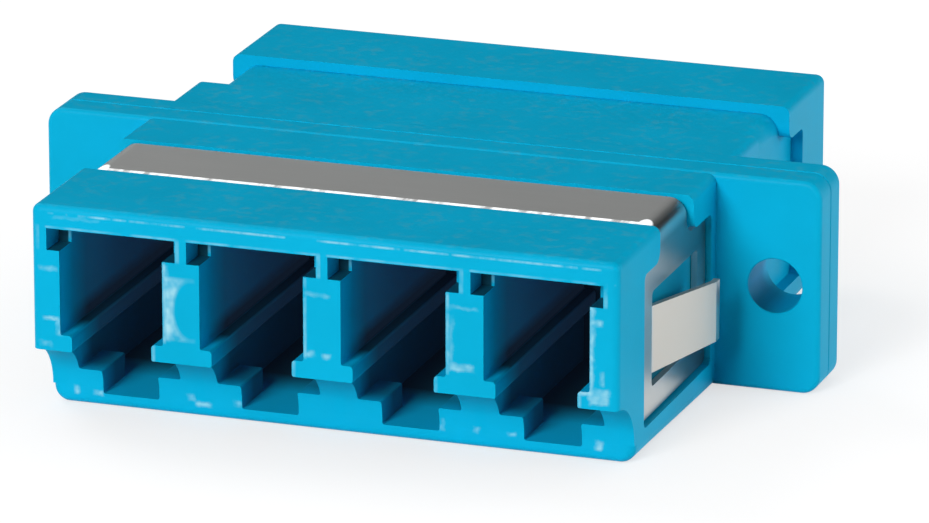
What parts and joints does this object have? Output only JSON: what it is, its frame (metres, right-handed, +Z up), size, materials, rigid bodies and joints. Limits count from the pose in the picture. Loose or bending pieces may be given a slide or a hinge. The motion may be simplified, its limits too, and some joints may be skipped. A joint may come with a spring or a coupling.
{
  "type": "fibre adapter",
  "caption": "Rectangular moulded adapter with a row of latched ports on each face, a two-hole flange round its middle and a folded spring clip.",
  "frame": {"origin": "middle of the underside, on the weld plane where the two half housings meet", "axes": "+X along the row of ports, +Y from the clip's half to the other half, +Z up away from the latch side"},
  "size_m": [0.0352, 0.0296, 0.0094],
  "materials": {
    "housing_plastic": "blue moulded plastic, satin",
    "rear_housing_plastic": "blue moulded plastic, satin",
    "spring_steel": "rolled spring sheet, fine grain along the strip",
    "sleeve_ceramic": "white ceramic, ground smooth"
  },
  "bodies": {
    "root": {"front_housing": "housing_plastic", "rear_housing": "rear_housing_plastic", "mounting_clip": "spring_steel", "split_sleeve_1": "sleeve_ceramic", "split_sleeve_2": "sleeve_ceramic", "split_sleeve_3": "sleeve_ceramic", "split_sleeve_4": "sleeve_ceramic"}
  },
  "joints": []
}
